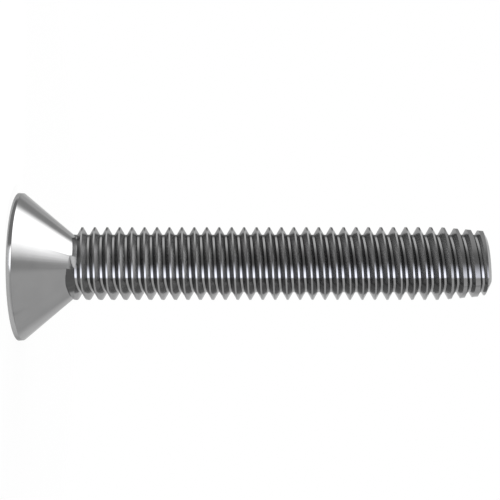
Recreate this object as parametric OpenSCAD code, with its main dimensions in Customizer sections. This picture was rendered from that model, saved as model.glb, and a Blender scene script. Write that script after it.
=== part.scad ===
// Countersunk thread-forming screw, standing on its flat head with the tip up.
// Lengths are in millimetres and angles in degrees. +Z runs from the head face to the tip,
// and the origin is the centre of the head face.
// The shank isn't round: three lobes press the thread into the hole, and the section has the
// same width in every direction.

/* [Head] */
// Diameter of the flat face
head_d = 9.5; // [8:0.1:11]
// Height of the rim
rim_h = 0.33; // [0.1:0.01:0.6]
// Slope of the rim, which narrows towards the cone
rim_draft = 7; // [0:1:12]
// Included angle of the cone that seats in the countersink
cone_angle = 80; // [75:1:100]

/* [Shank] */
// Length from the head face to the tip
overall_len = 30; // [16:1:50]

/* [Thread] */
// Distance from one crest to the next
pitch = 0.8; // [0.7:0.05:1]
// Angle between the two flanks of a groove
flank_angle = 60; // [55:1:65]
// Width across the crests, the same in every direction
crest_width = 4.7; // [4.5:0.05:5.2]
// How much the circle round the three lobes exceeds that width
lobe_rise = 0.42; // [0.2:0.02:0.5]
// Turn of the first lobe about the axis
lobe_turn = 176; // [0:1:359]
// Distance from the end of the cone to the first full crest
start_gap = 0.23; // [0.15:0.01:0.5]
// Diameter at which the first turn grows out of the cone
start_d = 4.38; // [4.2:0.02:4.5]
// Length along the axis over which that turn keeps this diameter
start_hold = 0.16; // [0.05:0.01:0.3]
// Slope of the top of that turn
start_angle = 22; // [10:1:30]

/* [Tip] */
// Length of the leading end, on which the crests taper down
taper_len = 3; // [1:0.1:5]
// Slope of the crests there
taper_angle = 5; // [2:0.5:8]
// How far the end face is set in from the root of the thread
end_inset = 0.16; // [0.1:0.02:0.4]
// Angle between the axis and the chamfer round the end face
end_chamfer_angle = 60; // [45:1:70]

/* [Drive socket] */
// Width across the points of the six-lobe socket
socket_points = 4.5; // [4:0.05:5]
// Width across the hollows between them
socket_hollows = 3.25; // [2.9:0.05:3.5]
// Radius of a point
socket_point_r = 0.35; // [0.25:0.05:0.45]
// Depth of the straight wall
socket_depth = 1.9; // [1:0.1:2.2]
// Depth of the punch cone below that wall
socket_cone = 0.4; // [0.1:0.1:0.6]
// Width of the lead-in round the mouth
socket_lead = 0.12; // [0.05:0.01:0.2]

/* [Hidden] */
$fn = 96;

steel = [0.66, 0.67, 0.69];
lobes = 3;
lobe_step = 360 / lobes;
socket_lobes = 6;
cut_over = 0.05;

// Thread form: flats on crest and root are fixed shares of the pitch, as on metric threads
crest_flat = pitch / 8;
root_flat = pitch / 6;
flank_slope = tan(flank_angle / 2);
thread_depth = (pitch - crest_flat - root_flat) / 2 / flank_slope;
root_half = crest_flat / 2 + thread_depth * flank_slope;

// Lobed section: arcs about the corners of an equilateral triangle, a short arc round each
// lobe and a long arc across each flat side
corner_r = lobe_rise / (2 - sqrt(3));
short_r = (crest_width + lobe_rise) / 2 - corner_r;
long_r = crest_width - short_r;
flat_r = crest_width / 2 - lobe_rise / 2;

// Every arc turns the surface by the same angle, in short arcs of few facets and long ones of more
arc_span = lobe_step / 2;
short_steps = 5;
long_steps = 7;

// Heights along the axis: the cone starts at the top of the rim, and it ends where it meets the
// crests on the flat sides
rim_r = head_d / 2 - rim_h * tan(rim_draft);
function cone_z(r) = rim_h + (rim_r - r) / tan(cone_angle / 2);
cone_end = cone_z(flat_r);
first_crest = cone_end + start_gap;
// A crest grows by the height of a lobe over half a turn
fade_len = pitch / 2;

// Turns of thread: some are buried in the head, and the last one passes the end face
buried_turns = 2;
last_turn = ceil((overall_len - first_crest) / pitch) + 1;
corners = 4;
rows = corners * (buried_turns + last_turn + 1);
// A crest that is lowered to the root keeps this much height, so that no facet closes up
min_rise = 0.01;

// Directions of the outward normal round the section, one for each column of facets
columns = [
    for (k = [0 : lobes - 1]) each [
        for (i = [0 : short_steps - 1]) k * lobe_step + arc_span * (i / short_steps - 1 / 2),
        for (i = [0 : long_steps - 1]) k * lobe_step + arc_span * (i / long_steps + 1 / 2),
    ]
];
column_count = len(columns);

// Number of the arc that a normal belongs to, and its middle: even arcs are lobes, odd are sides
function arc_number(normal) = floor(normal / arc_span + 1 / 2);
function in_lobe(normal) = arc_number(normal) % 2 == 0;
function arc_middle(normal) = arc_span * arc_number(normal);

// Point of the lobed section with that normal, inset from the crest line
function section_point(normal, inset) =
    let (corner = in_lobe(normal) ? arc_middle(normal) : arc_middle(normal) + 180)
    let (r = (in_lobe(normal) ? short_r : long_r) - inset)
    [corner_r * cos(corner) + r * cos(normal), corner_r * sin(corner) + r * sin(normal)];

// Angle round the axis of a crest point, which runs on with its normal
function polar(normal) =
    let (p = section_point(normal, 0))
    let (along = p[0] * cos(normal) + p[1] * sin(normal))
    let (across = p[1] * cos(normal) - p[0] * sin(normal))
    normal + atan2(across, along);

// Height of the crest's middle in a column, on one turn
function crest_z(normal, turn) =
    first_crest + pitch * (turn + (polar(normal) + lobe_turn - 360) / 360);

// Drop of a crest's edge to a sloping top that lies so far below the middle of the crest
function edge_drop(drop, slope) = (drop + slope * crest_flat / 2) / (1 - slope * flank_slope);

// How far an edge of a crest is lowered, on its low side (-1) or its high side (1): to the slanted
// top of the first turn, and by the taper at the tip
function lowered(normal, z, side) =
    let (rise = min(0, z - first_crest + start_hold) + max(0, z - first_crest))
    let (level = start_d / 2 + rise * lobe_rise / fade_len)
    let (above = norm(section_point(normal, 0)) - level)
    let (start = edge_drop(above, side * tan(start_angle)))
    let (past = z - overall_len + taper_len)
    let (tip = edge_drop(past * tan(taper_angle), side * tan(taper_angle)))
    min(thread_depth - min_rise, max(0, start, tip));

// One vertex: four corners across each crest, from root to crest and back to root
function thread_point(column, row) =
    let (normal = columns[column])
    let (z = crest_z(normal, floor(row / corners) - buried_turns))
    let (corner = row % corners)
    let (on_root = corner == 0 || corner == corners - 1)
    let (side = corner < corners / 2 ? -1 : 1)
    let (inset = on_root ? thread_depth : lowered(normal, z, side))
    let (half = on_root ? root_half : crest_flat / 2 + inset * flank_slope)
    [each section_point(normal, inset), z + side * half];

function vertex(column, row) =
    column == column_count ? row + corners : column * rows + row;

// Lobed, threaded rod from inside the head to beyond the tip
module threaded_rod() {
    last_column = column_count - 1;
    vertices = [
        for (column = [0 : last_column])
            for (row = [0 : rows - 1]) thread_point(column, row)
    ];
    low_centre = len(vertices);
    high_centre = low_centre + 1;
    axis_points = [
        [0, 0, vertices[corners / 2][2]],
        [0, 0, vertices[rows - 1][2]],
    ];
    skin = [
        for (column = [0 : last_column])
            for (row = [0 : rows - 2 - (column == last_column ? corners : 0)]) each [
                [vertex(column, row), vertex(column, row + 1), vertex(column + 1, row)],
                [vertex(column + 1, row), vertex(column, row + 1), vertex(column + 1, row + 1)],
            ]
    ];
    low_rim = [
        for (column = [0 : column_count]) vertex(column, 0),
        for (row = [corners - 1 : -1 : 1]) vertex(0, row),
    ];
    high_rim = [
        for (column = [0 : last_column]) vertex(column, rows - 1),
        for (row = [rows - 2 : -1 : rows - 1 - corners]) vertex(last_column, row),
    ];
    caps = [
        for (i = [0 : len(low_rim) - 1])
            [low_centre, low_rim[i], low_rim[(i + 1) % len(low_rim)]],
        for (i = [0 : len(high_rim) - 1])
            [high_centre, high_rim[(i + 1) % len(high_rim)], high_rim[i]],
    ];
    rotate([0, 0, lobe_turn])
        polyhedron(concat(vertices, axis_points), concat(skin, caps), convexity = 10);
}

// Space that the finished rod keeps within: a lobed prism clear of the crests, and a chamfer that
// follows the lobes in to the end face
module tip_envelope() {
    clear = 0.3;
    face_inset = thread_depth + end_inset;
    chamfer_h = (face_inset + clear) / tan(end_chamfer_angle);
    rings = [[-clear, 0], [-clear, overall_len - chamfer_h], [face_inset, overall_len]];
    last = column_count - 1;
    vertices = [
        for (ring = rings)
            for (normal = columns) [each section_point(normal, ring[0]), ring[1]]
    ];
    walls = [
        for (low = [0 : len(rings) - 2])
            for (i = [0 : last])
                let (next = (i + 1) % column_count)
                let (a = low * column_count)
                let (b = a + column_count)
                [a + i, b + i, b + next, a + next]
    ];
    foot = [for (i = [0 : last]) i];
    face = [for (i = [last : -1 : 0]) (len(rings) - 1) * column_count + i];
    rotate([0, 0, lobe_turn])
        polyhedron(vertices, concat(walls, [foot, face]));
}

// Flat head, whose cone runs on to the core of the shank
module head_blank() {
    core_r = flat_r - thread_depth - min_rise;
    rotate_extrude()
        polygon([
            [0, 0],
            [head_d / 2, 0],
            [rim_r, rim_h],
            [core_r, cone_z(core_r)],
            [0, cone_z(core_r)],
        ]);
}

// Six-lobe socket with a punch cone at its foot and a lead-in at its mouth
module drive_socket() {
    point_at = socket_points / 2 - socket_point_r;
    half_hollows = socket_hollows / 2;
    half_pitch = 180 / socket_lobes;
    // Hollow radius that touches both neighbouring points
    hollow_r = (point_at ^ 2 + half_hollows ^ 2 - 2 * point_at * half_hollows * cos(half_pitch)
        - socket_point_r ^ 2) / (2 * (socket_point_r + point_at * cos(half_pitch) - half_hollows));
    hollow_at = half_hollows + hollow_r;
    // Direction from a point's centre to the hollow's centre, where the two arcs meet
    meet = atan2(hollow_at * sin(half_pitch), hollow_at * cos(half_pitch) - point_at);
    hollow_half = meet - half_pitch;
    arc_steps = 6;
    outline = [
        for (k = [0 : socket_lobes - 1]) each [
            for (i = [0 : arc_steps])
                let (a = k * 2 * half_pitch)
                let (turn = a - meet + 2 * meet * i / arc_steps)
                [point_at * cos(a) + socket_point_r * cos(turn),
                 point_at * sin(a) + socket_point_r * sin(turn)],
            for (i = [1 : arc_steps - 1])
                let (a = (2 * k + 1) * half_pitch)
                let (turn = a + 180 + hollow_half - 2 * hollow_half * i / arc_steps)
                [hollow_at * cos(a) + hollow_r * cos(turn),
                 hollow_at * sin(a) + hollow_r * sin(turn)],
        ]
    ];
    translate([0, 0, -cut_over])
        linear_extrude(height = socket_depth + cut_over)
            polygon(outline);
    translate([0, 0, socket_depth - cut_over])
        cylinder(h = socket_cone + cut_over, r1 = half_hollows, r2 = 0);
    translate([0, 0, -cut_over])
        cylinder(h = socket_lead + 2 * cut_over, r1 = socket_points / 2 + socket_lead + cut_over,
            r2 = socket_points / 2 - cut_over);
}

module screw() {
    color(steel)
        difference() {
            union() {
                head_blank();
                intersection() {
                    threaded_rod();
                    tip_envelope();
                }
            }
            drive_socket();
        }
}

screw();
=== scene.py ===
import math

import bmesh
import bpy
from mathutils import Matrix, Vector


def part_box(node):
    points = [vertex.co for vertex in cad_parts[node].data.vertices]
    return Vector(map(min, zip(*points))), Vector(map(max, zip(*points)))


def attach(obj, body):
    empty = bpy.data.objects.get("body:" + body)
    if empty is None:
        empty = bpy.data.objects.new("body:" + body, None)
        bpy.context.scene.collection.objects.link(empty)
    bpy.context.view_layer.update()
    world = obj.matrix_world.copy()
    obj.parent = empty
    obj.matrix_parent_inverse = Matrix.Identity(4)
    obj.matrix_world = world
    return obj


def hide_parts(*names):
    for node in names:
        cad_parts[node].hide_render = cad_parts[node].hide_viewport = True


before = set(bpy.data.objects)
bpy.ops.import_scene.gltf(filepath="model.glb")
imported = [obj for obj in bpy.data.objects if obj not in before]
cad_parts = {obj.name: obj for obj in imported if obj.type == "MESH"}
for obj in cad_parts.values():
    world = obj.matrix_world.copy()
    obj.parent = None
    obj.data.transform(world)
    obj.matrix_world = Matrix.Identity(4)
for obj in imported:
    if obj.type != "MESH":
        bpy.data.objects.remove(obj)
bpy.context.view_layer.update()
nodeLow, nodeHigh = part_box("screw")
print("frame loaded, screw box", nodeLow[:], nodeHigh[:])

# The mesh is modelled in millimetres and scaled to metres at the end
mm = 0.001
tiny = 1e-3
up = Vector((0, 0, 1))
sharpAngle = math.radians(25)


def toObject(bm, name):
    mesh = bpy.data.meshes.new(name)
    bm.to_mesh(mesh)
    bm.free()
    made = bpy.data.objects.new(name, mesh)
    bpy.context.scene.collection.objects.link(made)
    return made


def vertsOf(geom):
    return [g for g in geom if isinstance(g, bmesh.types.BMVert)]


def closeUp(bm):
    bmesh.ops.remove_doubles(bm, verts=bm.verts[:], dist=tiny)
    bmesh.ops.recalc_face_normals(bm, faces=bm.faces[:])


def chain(bm, points):
    verts = [bm.verts.new((r, 0, z)) for r, z in points]
    return verts + [bm.edges.new(pair) for pair in zip(verts, verts[1:])]


# Solid turned about the axis from an outline of (radius, height) points that starts and ends on it
def turned(outline, sides):
    bm = bmesh.new()
    bmesh.ops.spin(bm, geom=chain(bm, outline), cent=(0, 0, 0), axis=up, angle=math.tau,
                   steps=sides, use_merge=True)
    closeUp(bm)
    return bm


def combine(piece, tool, operation):
    change = piece.modifiers.new(operation, "BOOLEAN")
    change.operation = operation
    change.solver = "MANIFOLD"
    change.object = tool
    seen = piece.evaluated_get(bpy.context.evaluated_depsgraph_get())
    result = bpy.data.meshes.new_from_object(seen)
    piece.modifiers.clear()
    old = piece.data
    piece.data = result
    bpy.data.meshes.remove(old)
    bpy.data.meshes.remove(tool.data)


# Head: a low rim with a slight draft, then the cone up to the thread
head = {
    "radius": nodeHigh.x / mm,
    "rimHeight": 0.3,
    "rimDraft": math.radians(5.4),
    "coneHalfAngle": math.radians(40),
    "innerRadius": 1.6,
    "edgeRound": 0.03,
    "cornerRound": 0.015,
    "edgeSegments": 5,
    "sides": 240,
}

# Shank: three lobes of constant width, with flats on crest and root as shares of the pitch
shank = {
    "length": nodeHigh.z / mm,
    "pitch": 0.8,
    "flankHalfAngle": math.radians(30),
    "crestFlat": 1 / 8,
    "rootFlat": 1 / 6,
    "width": 4.7,
    "lobeRise": 0.42,
    "lobeTurn": math.radians(176),
    "startGap": 0.245,
    "startRadius": 2.19,
    "startSlope": math.tan(math.radians(22)),
    "startHold": 0.16,
    "columns": 180,
    "buriedTurns": 2,
    "minRise": 0.01,
}

# Leading end: the crests taper down, and a chamfer runs round the end face
tip = {
    "taperLength": 3,
    "taperAngle": math.radians(5),
    "faceInset": 0.16,
    "chamferAngle": math.radians(60),
}

pitch = shank["pitch"]
flankSlope = math.tan(shank["flankHalfAngle"])
crestHalf = pitch * shank["crestFlat"] / 2
rootHalf = pitch * (1 - shank["rootFlat"]) / 2
threadDepth = (rootHalf - crestHalf) / flankSlope
flatRadius = (shank["width"] - shank["lobeRise"]) / 2
rimTop = head["radius"] - head["rimHeight"] * math.tan(head["rimDraft"])
coneEnd = head["rimHeight"] + (rimTop - flatRadius) / math.tan(head["coneHalfAngle"])
firstCrest = coneEnd + shank["startGap"]

# The section's arcs: short ones round the lobes and long ones across the sides
arcSpan = math.radians(60)
cornerReach = shank["lobeRise"] / (2 - math.sqrt(3))
shortRadius = (shank["width"] + shank["lobeRise"]) / 2 - cornerReach
longRadius = shank["width"] - shortRadius


def headBlank():
    foot = coneEnd + (flatRadius - head["innerRadius"]) / math.tan(head["coneHalfAngle"])
    bm = turned([(0, 0), (head["radius"], 0), (rimTop, head["rimHeight"]),
                 (head["innerRadius"], foot), (0, foot)], head["sides"])
    for level, size in ((0, head["edgeRound"]), (head["rimHeight"], head["cornerRound"])):
        rim = [e for e in bm.edges if all(abs(v.co.z - level) < tiny for v in e.verts)
               and all(v.co.xy.length > rimTop - tiny for v in e.verts)]
        bmesh.ops.bevel(bm, geom=rim, offset=size, offset_type="OFFSET", affect="EDGES",
                        segments=head["edgeSegments"], profile=0.5, material=-1)
    return toObject(bm, "headBlank")


def turnLobes(bm):
    bmesh.ops.rotate(bm, verts=bm.verts, cent=(0, 0, 0),
                     matrix=Matrix.Rotation(shank["lobeTurn"], 3, "Z"))


# Point of the lobed section with this outward normal, moved in from the crest line
def lobedPoint(normal, inset):
    arc = round(normal / arcSpan)
    onSide = arc % 2 == 1
    corner = arc * arcSpan + (math.pi if onSide else 0)
    radius = (longRadius if onSide else shortRadius) - inset
    return Vector((cornerReach * math.cos(corner) + radius * math.cos(normal),
                   cornerReach * math.sin(corner) + radius * math.sin(normal)))


# Drop of a crest's edge to a sloping top that lies so far below the middle of the crest
def edgeDrop(drop, slope):
    return (drop + slope * crestHalf) / (1 - slope * flankSlope)


# How far one edge of the crest lies below its full height: the first turn grows out of the cone
# with a slanted top, and the crests of the leading end taper down
def crestDrop(crestPoint, z, side):
    rise = min(0, z - firstCrest + shank["startHold"]) + max(0, z - firstCrest)
    level = shank["startRadius"] + rise * 2 * shank["lobeRise"] / pitch
    start = edgeDrop(crestPoint.length - level, side * shank["startSlope"])
    fall = math.tan(tip["taperAngle"])
    taper = edgeDrop((z - shank["length"] + tip["taperLength"]) * fall, side * fall)
    return min(threadDepth - shank["minRise"], max(0, start, taper))


def threadedRod():
    bm = bmesh.new()
    crestRadius = shank["width"] / 2
    rootRadius = crestRadius - threadDepth
    start = firstCrest - shank["buriedTurns"] * pitch
    turns = shank["buriedTurns"] + math.ceil((shank["length"] - firstCrest) / pitch) + 2
    ridge = chain(bm, [(rootRadius, start - rootHalf), (crestRadius, start - crestHalf),
                       (crestRadius, start + crestHalf), (rootRadius, start + rootHalf),
                       (rootRadius, start + pitch - rootHalf)])
    for turn in range(1, turns):
        copied = bmesh.ops.duplicate(bm, geom=ridge)["geom"]
        bmesh.ops.translate(bm, vec=up * pitch * turn, verts=vertsOf(copied))
    bmesh.ops.remove_doubles(bm, verts=bm.verts[:], dist=tiny)
    # One turn of a screw motion; its end meets the next ridge of its start
    bmesh.ops.spin(bm, geom=bm.verts[:] + bm.edges[:], cent=(0, 0, 0), axis=up, angle=math.tau,
                   steps=shank["columns"], dvec=up * pitch / shank["columns"])
    bmesh.ops.remove_doubles(bm, verts=bm.verts[:], dist=tiny)

    for v in bm.verts:
        normal = math.atan2(v.co.y, v.co.x) % math.tau
        inset = crestRadius - v.co.xy.length
        along = (v.co.z - start) / pitch - normal / math.tau
        side = math.copysign(1, (along + 0.5) % 1 - 0.5)
        crest = lobedPoint(normal, 0)
        lag = (math.atan2(crest.y, crest.x) - normal + math.pi) % math.tau - math.pi
        z = v.co.z + pitch * (lag + shank["lobeTurn"]) / math.tau
        if inset < threadDepth / 2:
            drop = crestDrop(crest, z - side * crestHalf, side)
            inset += drop
            z += side * drop * flankSlope
        v.co = (*lobedPoint(normal, inset), z)
    turnLobes(bm)

    # Each open end is drawn together to a point on the axis
    middle = shank["length"] / 2
    boundary = [e for e in bm.edges if e.is_boundary]
    for rim in ([e for e in boundary if e.verts[0].co.z < middle],
                [e for e in boundary if e.verts[0].co.z > middle]):
        heights = [v.co.z for e in rim for v in e.verts]
        cap = bmesh.ops.extrude_edge_only(bm, edges=rim)["geom"]
        bmesh.ops.pointmerge(bm, verts=vertsOf(cap),
                             merge_co=(0, 0, (min(heights) + max(heights)) / 2))
    bmesh.ops.recalc_face_normals(bm, faces=bm.faces[:])
    return toObject(bm, "threadedRod")


# Space that the finished rod keeps within: the chamfer at its end follows the lobed section
def tipEnvelope():
    outside = -0.3
    faceInset = threadDepth + tip["faceInset"]
    chamferHeight = (faceInset - outside) / math.tan(tip["chamferAngle"])
    levels = [(outside, 0), (outside, shank["length"] - chamferHeight),
              (faceInset, shank["length"])]
    bm = bmesh.new()
    for inset, z in levels:
        for v in bmesh.ops.create_circle(bm, radius=1, segments=shank["columns"])["verts"]:
            v.co = (*lobedPoint(math.atan2(v.co.y, v.co.x) % math.tau, inset), z)
    turnLobes(bm)
    hull = bmesh.ops.convex_hull(bm, input=bm.verts[:])
    bmesh.ops.delete(bm, geom=hull["geom_interior"], context="VERTS")
    bmesh.ops.recalc_face_normals(bm, faces=bm.faces[:])
    return toObject(bm, "tipEnvelope")


# Six-lobe drive socket in the head face
socket = {
    "points": 4.5,
    "hollows": 3.25,
    "pointRadius": 0.35,
    "depth": 1.9,
    "punchDepth": 0.4,
    "leadIn": 0.12,
    "sides": 240,
    "lobes": 6,
}


# Distance from the axis to the socket's wall, in the hollows and round the points
def socketWall(angle):
    step = math.pi / socket["lobes"]
    pointAt = socket["points"] / 2 - socket["pointRadius"]
    half = socket["hollows"] / 2
    hollowRadius = ((pointAt ** 2 + half ** 2 - 2 * pointAt * half * math.cos(step)
                     - socket["pointRadius"] ** 2)
                    / (2 * (socket["pointRadius"] + pointAt * math.cos(step) - half)))
    hollowAt = half + hollowRadius
    reach = pointAt + (hollowAt * math.cos(step) - pointAt) * socket["pointRadius"] / (
        socket["pointRadius"] + hollowRadius)
    across = hollowAt * math.sin(step) * socket["pointRadius"] / (
        socket["pointRadius"] + hollowRadius)
    joint = math.atan2(across, reach)
    away = abs((angle + step) % (2 * step) - step)
    if away <= joint:
        return pointAt * math.cos(away) + math.sqrt(
            socket["pointRadius"] ** 2 - (pointAt * math.sin(away)) ** 2)
    away = step - away
    return hollowAt * math.cos(away) - math.sqrt(
        hollowRadius ** 2 - (hollowAt * math.sin(away)) ** 2)


def socketPrism():
    over = 0.5
    bm = bmesh.new()
    mouth = bmesh.ops.create_circle(bm, cap_ends=True, radius=1, segments=socket["sides"])["verts"]
    for v in mouth:
        r = socketWall(math.atan2(v.co.y, v.co.x))
        v.co = Vector((v.co.x, v.co.y, 0)).normalized() * r - up * over
    wall = bmesh.ops.extrude_face_region(bm, geom=bm.faces[:])["geom"]
    bmesh.ops.translate(bm, vec=up * (over + socket["depth"]), verts=vertsOf(wall))
    bmesh.ops.recalc_face_normals(bm, faces=bm.faces[:])
    return toObject(bm, "socketPrism")


def socketPunch():
    over = 0.1
    r = socket["hollows"] / 2
    return toObject(turned([(0, socket["depth"] - over), (r, socket["depth"] - over),
                            (r, socket["depth"]), (0, socket["depth"] + socket["punchDepth"])],
                           socket["sides"]), "socketPunch")


def socketLead():
    over = 0.5
    r = socket["points"] / 2
    return toObject(turned([(0, -over), (r + socket["leadIn"] + over, -over),
                            (r - over, socket["leadIn"] + over), (0, socket["leadIn"] + over)],
                           socket["sides"]), "socketLead")


screw = threadedRod()
print("rod faces", len(screw.data.polygons))
combine(screw, tipEnvelope(), "INTERSECT")
combine(screw, headBlank(), "UNION")
for cutter in (socketPrism(), socketPunch(), socketLead()):
    combine(screw, cutter, "DIFFERENCE")
screw.name = screw.data.name = "countersunkScrew"
screw.data.transform(Matrix.Scale(mm, 4))
screw.data.shade_smooth()
screw.data.set_sharp_from_angle(angle=sharpAngle)
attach(screw, "root")
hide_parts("screw")
print("screw faces", len(screw.data.polygons))


# A shader socket: arithmetic on it adds Math nodes, and make() adds any other node
class Wire:
    def __init__(self, tree, port=None):
        self.tree = tree
        self.port = port

    def make(self, kind, settings=None, inputs=None, output=0):
        node = self.tree.nodes.new(kind)
        for key, value in (settings or {}).items():
            setattr(node, key, value)
        for key, value in (inputs or {}).items():
            if isinstance(value, Wire):
                self.tree.links.new(value.port, node.inputs[key])
            else:
                node.inputs[key].default_value = value
        return Wire(self.tree, node.outputs[output] if node.outputs else None)

    def out(self, name):
        return Wire(self.tree, self.port.node.outputs[name])

    def maths(self, operation, a, b):
        return self.make("ShaderNodeMath", {"operation": operation}, {0: a, 1: b})

    def __add__(self, other):
        return self.maths("ADD", self, other)

    def __radd__(self, other):
        return self.maths("ADD", other, self)

    def __sub__(self, other):
        return self.maths("SUBTRACT", self, other)

    def __rsub__(self, other):
        return self.maths("SUBTRACT", other, self)

    def __mul__(self, other):
        return self.maths("MULTIPLY", self, other)

    def __rmul__(self, other):
        return self.maths("MULTIPLY", other, self)

    def __truediv__(self, other):
        return self.maths("DIVIDE", self, other)

    def __rtruediv__(self, other):
        return self.maths("DIVIDE", other, self)

    def __pow__(self, other):
        return self.maths("POWER", self, other)

    def __rpow__(self, other):
        return self.maths("POWER", other, self)

    # Smooth step from 0 at one value to 1 at another
    def fade(self, zero, one):
        return self.make("ShaderNodeMapRange", {"interpolation_type": "SMOOTHSTEP"},
                         {"Value": self, "From Min": zero, "From Max": one})

    # Smooth step up over the first two values and down again over the last two
    def band(self, start, full, last, end):
        return self.fade(start, full) * self.fade(end, last)


def newMaterial(name):
    material = bpy.data.materials.new(name)
    material.use_nodes = True
    material.node_tree.nodes.clear()
    return material, Wire(material.node_tree)


def blend(wire, share, first, second):
    return wire.make("ShaderNodeMix", {"data_type": "RGBA"},
                     {"Factor": share, 6: first, 7: second}, output=2)


def scaled(wire, vector, factor):
    return wire.make("ShaderNodeVectorMath", {"operation": "SCALE"}, {0: vector, "Scale": factor})


def axisDistance(x, y):
    return (x * x + y * y) ** 0.5


# Angle about the axis in degrees: 0 towards the camera, 90 above
def turnAngle(x, y):
    return x.maths("ARCTAN2", -1 * x, -1 * y) * math.degrees(1)


# Polished steel: fine polishing rings about the axis, faint cloudiness and a slightly cool tone.
# The rolled flanks of the thread, told by their lean and height, are duller, and their colour is
# darkened as painted shade in the grooves
steel = {
    "dark": (0.375, 0.375, 0.377, 1),
    "light": (0.395, 0.395, 0.396, 1),
    "edgeTint": (0.55, 0.55, 0.55, 1),
    "roughness": 0.10,
    "roughnessSpread": 0.06,
    "flankRoughness": 0.20,
    # share by which the flank colour is darkened: painted shade in the grooves
    "flankPaintedShade": 0.16,
    "flankLean": (0.72, 0.82, 0.92, 0.97),
    "flankHeight": (3.3, 3.6, 29.3, 29.6),
    "ringsPerMm": 14,
    "ringDetail": 3,
    "cloudsPerMm": 0.8,
    "cloudDetail": 4,
    "cloudFade": (0.3, 0.7),
    "evenPolish": 0.8,
    "bumpDepth": 0.0004,
    "bumpStrength": 0.15,
}


def polishedSteel():
    material, wire = newMaterial("polishedSteel")
    place = scaled(wire, wire.make("ShaderNodeTexCoord", output="Object"), 1 / mm)
    x = wire.make("ShaderNodeSeparateXYZ", inputs={0: place})
    y, z = x.out("Y"), x.out("Z")
    around = wire.make("ShaderNodeCombineXYZ", inputs={"X": axisDistance(x, y), "Z": z})
    rings = wire.make("ShaderNodeTexNoise",
                      inputs={"Vector": around, "Scale": steel["ringsPerMm"],
                              "Detail": steel["ringDetail"]})
    clouds = wire.make("ShaderNodeTexNoise",
                       inputs={"Vector": place, "Scale": steel["cloudsPerMm"],
                               "Detail": steel["cloudDetail"]})
    normal = wire.make("ShaderNodeNewGeometry", output="Normal")
    lean = wire.make("ShaderNodeSeparateXYZ", inputs={0: normal}, output="Z")
    lean = wire.make("ShaderNodeMath", {"operation": "ABSOLUTE"}, {0: lean})
    flank = lean.band(*steel["flankLean"]) * z.band(*steel["flankHeight"])
    tone = blend(wire, clouds.fade(*steel["cloudFade"]), steel["dark"], steel["light"])
    # Painted shade: the flanks' colour is darkened where shade falls in the grooves
    tone = scaled(wire, tone, 1 - steel["flankPaintedShade"] * flank)
    roughness = (steel["roughness"] + (steel["flankRoughness"] - steel["roughness"]) * flank
                 + steel["roughnessSpread"] * (rings + clouds - steel["evenPolish"]))
    bump = wire.make("ShaderNodeBump",
                     inputs={"Strength": steel["bumpStrength"],
                             "Distance": steel["bumpDepth"] * mm, "Height": rings})
    shader = wire.make("ShaderNodeBsdfPrincipled",
                       inputs={"Base Color": tone, "Metallic": 1.0, "Roughness": roughness,
                               "Specular Tint": steel["edgeTint"], "Normal": bump})
    wire.make("ShaderNodeOutputMaterial", inputs={"Surface": shader})
    return material


screw.data.materials.clear()
screw.data.materials.append(polishedSteel())
print("steel done")

# Camera: the photograph's right is +Z and its top is -X; columns and rows are its pixels
photo = {
    "size": 500,
    "faceColumn": 19.8,
    "tipColumn": 486.5,
    "axisRow": 266.75,
    "distance": 1260,
    "sensor": 36,
    "nearClip": 0.001,
}
pixel = nodeHigh.z / (photo["tipColumn"] - photo["faceColumn"])
eye = bpy.data.cameras.new("photoCamera")
eye.sensor_width = photo["sensor"]
eye.lens = photo["sensor"] * photo["distance"] / photo["size"]
eye.clip_start = photo["nearClip"]
camera = bpy.data.objects.new("photoCamera", eye)
camera.matrix_world = Matrix(((0, -1, 0, (photo["size"] / 2 - photo["axisRow"]) * pixel),
                              (0, 0, -1, -photo["distance"] * pixel),
                              (1, 0, 0, (photo["size"] / 2 - photo["faceColumn"]) * pixel),
                              (0, 0, 0, 1)))
bpy.context.scene.collection.objects.link(camera)
bpy.context.scene.camera = camera
print("camera set, metres to a pixel", pixel)

plainWhite = (1, 1, 1, 1)


# Floor, in metres like the rest of the stage: white to the eye and in reflections, and it keeps
# part of the shade that falls on it
floor = {"radius": 0.026, "sides": 96, "colour": (0.9, 0.9, 0.9, 1), "whiteShare": 0.94}


def paleFloor():
    bm = bmesh.new()
    bmesh.ops.create_circle(bm, cap_ends=True, radius=floor["radius"], segments=floor["sides"])
    disc = toObject(bm, "floor")
    material, wire = newMaterial("paleFloor")
    path = wire.make("ShaderNodeLightPath", output="Is Camera Ray")
    seen = path + path.out("Is Glossy Ray") + path.out("Is Transmission Ray")
    matt = wire.make("ShaderNodeBsdfDiffuse", inputs={"Color": floor["colour"]})
    white = wire.make("ShaderNodeEmission", inputs={"Strength": 1.0})
    mixed = wire.make("ShaderNodeMixShader",
                      inputs={0: floor["whiteShare"] * seen, 1: matt, 2: white})
    wire.make("ShaderNodeOutputMaterial", inputs={"Surface": mixed})
    disc.data.materials.append(material)


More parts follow.
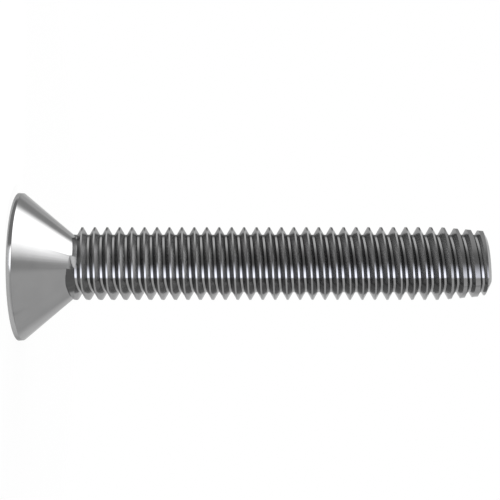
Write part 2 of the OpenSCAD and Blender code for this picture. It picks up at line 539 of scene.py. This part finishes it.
# Studio tent round the screw, pale behind it. Patches of light and dark cloth hang in it one over
# the other: "turn" is the angle about the axis, and "along" the share of a direction that points
# to the tip. Each patch fades in over two values and out over two more
noEnd = (2, 3)  # past any share, so the patch never fades out
tent = {
    "radius": 0.6,
    "columns": 48,
    "rows": 24,
    "grey": 0.70,
    "rear": 1.3,
    "rearFade": (0.58, 0.9),
    "rearTip": ((0.55, 0.7), (0.4, 0.6)),
    "patches": {
        "ceiling": {"level": 1.0, "turn": (66, 88, 150, 160), "along": (-0.9, -0.7, 0.18, 0.30)},
        "tipShade": {"level": 0.54, "turn": (66, 90, 120, 130), "along": (0.2, 0.28, 0.4, 0.48)},
        "coneEdge": {"level": 0.56, "turn": (124, 131, 139, 149), "along": (0.2, 0.29, *noEnd)},
        "backFlag": {"level": 0.32, "turn": (115, 123, 138, 148),
                     "along": (-0.9, -0.7, 0.2, 0.29)},
        "hood": {"level": 0.22, "turn": (0, 20, 50, 98), "along": (-0.9, -0.7, 0.38, 0.46)},
        "board": {"level": 0.20, "turn": (-101, -97, 5, 30), "along": (0.35, 0.42, 0.58, 0.7)},
        "lowBoard": {"level": 0.20, "turn": (-110, -103, -76, -70),
                     "along": (0.31, 0.345, 0.5, 0.6)},
        "coneShade": {"level": 0.49, "turn": (-22, 2, 10, 40), "along": (0.75, 0.9, *noEnd)},
        "softbox": {"level": 3.3, "turn": (12, 80, 113, 130.5), "along": (0.68, 0.79, *noEnd),
                    "slant": 0.0045},
        "strip": {"level": 3.1, "turn": (-8, 11, 9, 39), "along": (-0.5, -0.4, 0.23, 0.48)},
    },
    "slantFrom": 60,
    "stripColour": (0.88, 0.90, 1, 1),
}


def studioTent():
    bm = bmesh.new()
    bmesh.ops.create_uvsphere(bm, u_segments=tent["columns"], v_segments=tent["rows"],
                              radius=tent["radius"])
    shell = toObject(bm, "studioTent")
    material, wire = newMaterial("studioTent")
    place = wire.make("ShaderNodeTexCoord", output="Object")
    place = wire.make("ShaderNodeVectorMath", {"operation": "NORMALIZE"}, {0: place})
    behind = wire.make("ShaderNodeSeparateXYZ", inputs={0: place}, output="Y")
    along = behind.out("Z")
    turn = turnAngle(behind.out("X"), behind)
    tipSide, tipRear = tent["rearTip"]
    tipPart = along.fade(*tipSide) * behind.fade(*tipRear)
    rear = 1 - (1 - behind.fade(*tent["rearFade"])) * (1 - tipPart)
    light = tent["grey"] + (tent["rear"] - tent["grey"]) * rear
    beyond = wire.maths("MAXIMUM", turn - tent["slantFrom"], 0.0)
    for patch in tent["patches"].values():
        reach = along + patch.get("slant", 0) * beyond
        share = turn.band(*patch["turn"]) * reach.band(*patch["along"])
        light = light + share * (patch["level"] - light)
    # The strip comes last, over all the others, and its light alone is cool
    cool = share * tent["patches"]["strip"]["level"] / light
    tone = scaled(wire, blend(wire, cool, plainWhite, tent["stripColour"]), light)
    glow = wire.make("ShaderNodeEmission", inputs={"Color": tone})
    wire.make("ShaderNodeOutputMaterial", inputs={"Surface": glow})
    shell.data.materials.append(material)
    shell.visible_camera = False
    shell.location = up * nodeHigh.z / 2


# Lit card over the floor beside the head, which the grooves near the head mirror. "ring" is the
# distance from the axis, and fades as "turn" does
litCard = {
    "radius": 0.02,
    "height": 0.0006,
    "ring": (0.006, 0.0066, 0.014, 0.019),
    "turn": (-8, 8, 70, 100),
    "level": 4.2,
}

# Low dark kerb above the head in the photograph, which only the rim mirrors
darkKerb = {
    "radius": 0.0054,
    "height": 0.0006,
    "turn": (15, 21, 70, 84),
    "level": 0.35,
}


def card(bm, name, sizes):
    sheet = toObject(bm, name)
    material, wire = newMaterial(name)
    place = wire.make("ShaderNodeTexCoord", output="Object")
    x = wire.make("ShaderNodeSeparateXYZ", inputs={0: place})
    y = x.out("Y")
    share = turnAngle(x, y).band(*sizes["turn"])
    if "ring" in sizes:
        share = share * axisDistance(x, y).band(*sizes["ring"])
    clear = wire.make("ShaderNodeBsdfTransparent")
    glow = wire.make("ShaderNodeEmission", inputs={"Strength": sizes["level"]})
    mixed = wire.make("ShaderNodeMixShader", inputs={0: share, 1: clear, 2: glow})
    wire.make("ShaderNodeOutputMaterial", inputs={"Surface": mixed})
    sheet.data.materials.append(material)
    sheet.visible_camera = False


def studioCards():
    bm = bmesh.new()
    bmesh.ops.create_circle(bm, cap_ends=True, radius=litCard["radius"], segments=floor["sides"])
    bmesh.ops.translate(bm, vec=up * litCard["height"], verts=bm.verts)
    card(bm, "litCard", litCard)
    bm = bmesh.new()
    bmesh.ops.create_circle(bm, radius=darkKerb["radius"], segments=floor["sides"])
    wall = bmesh.ops.extrude_edge_only(bm, edges=bm.edges[:])["geom"]
    bmesh.ops.translate(bm, vec=up * darkKerb["height"], verts=vertsOf(wall))
    card(bm, "darkKerb", darkKerb)


paleFloor()
studioCards()
studioTent()

world = bpy.data.worlds.new("whiteSurround")
world.use_nodes = True
world.node_tree.nodes["Background"].inputs["Color"].default_value = plainWhite
bpy.context.scene.world = world
bpy.context.scene.view_settings.view_transform = "Standard"
print("stage done")
